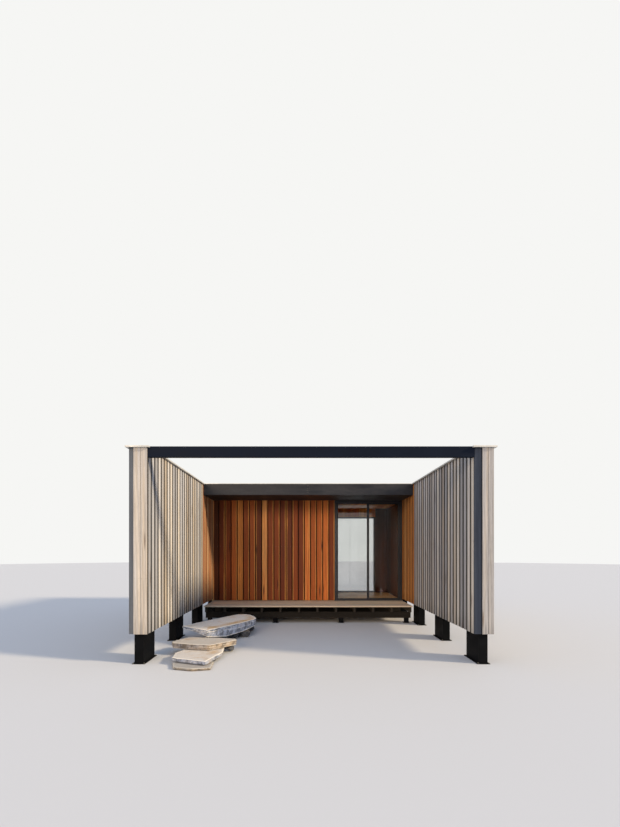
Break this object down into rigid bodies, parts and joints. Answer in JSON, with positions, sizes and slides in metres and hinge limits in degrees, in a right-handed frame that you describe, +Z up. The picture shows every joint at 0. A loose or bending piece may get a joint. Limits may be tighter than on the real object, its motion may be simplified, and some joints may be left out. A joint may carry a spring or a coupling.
{
  "type": "garden office pod",
  "caption": "Flat-roofed timber garden pod set between two long board-clad wing walls, with an open court, a porch and deck, a glazed bay with a sliding door, and rough stone steps.",
  "frame": {"origin": "on the ground, under the middle of the whole footprint", "axes": "+X to the right when facing the front, +Y from the front towards the back, +Z up"},
  "size_m": [5.76, 8.188, 3.4],
  "materials": {
    "weathered_wood": "unpainted boards weathered to silver grey and tan",
    "oiled_cedar": "oiled red-brown boards sheltered by the porch",
    "charcoal_steel": "satin charcoal paint",
    "zinc_flashing": "folded galvanised sheet, dulled by weather",
    "inner_wood": "clear-oiled timber lining",
    "pale_deck": "pale hardwood decking, worn",
    "dark_timber": "dark treated framing timber",
    "frame_timber": "sawn framing timber, hidden",
    "clear_glass": "clear sealed unit",
    "sandstone": "rough split slabs"
  },
  "bodies": {
    "pod": {"wing_core_left": "dark_timber", "wing_core_right": "dark_timber", "outer_cladding_left": "weathered_wood", "outer_cladding_right": "weathered_wood", "inner_cladding_left": "weathered_wood", "inner_cladding_right": "weathered_wood", "end_cladding_left": "weathered_wood", "end_cladding_right": "weathered_wood", "cap_flashing_left": "zinc_flashing", "cap_flashing_right": "zinc_flashing", "side_lining_left": "inner_wood", "side_lining_right": "inner_wood", "wing_posts": "charcoal_steel", "front_beam": "charcoal_steel", "roof_frame": "frame_timber", "roof_sheet": "charcoal_steel", "front_fascia": "charcoal_steel", "rear_fascia": "charcoal_steel", "roof_edge_flashing": "zinc_flashing", "soffit_lining": "charcoal_steel", "ceiling_lining": "inner_wood", "front_wall": "frame_timber", "front_wall_cladding": "oiled_cedar", "front_wall_lining": "inner_wood", "rear_wall": "frame_timber", "rear_wall_cladding": "weathered_wood", "rear_wall_lining": "inner_wood", "rear_window_frame": "charcoal_steel", "rear_window_glass": "clear_glass", "door_frame": "charcoal_steel", "fixed_sash": "charcoal_steel", "fixed_glass": "clear_glass", "room_floor": "inner_wood", "porch_deck": "pale_deck", "floor_joists": "dark_timber", "floor_bearers": "dark_timber", "floor_stumps": "charcoal_steel", "stone_step_1": "sandstone", "stone_step_2": "sandstone", "stone_step_3": "sandstone", "stone_step_4": "sandstone"},
    "sliding_door": {"sliding_sash": "charcoal_steel", "sliding_glass": "clear_glass", "door_pull": "charcoal_steel"}
  },
  "joints": [
    {"name": "door_slide", "type": "slide", "parent": "pod", "child": "sliding_door", "axis": [1, 0, 0], "range_m": [0, 0.82]}
  ]
}
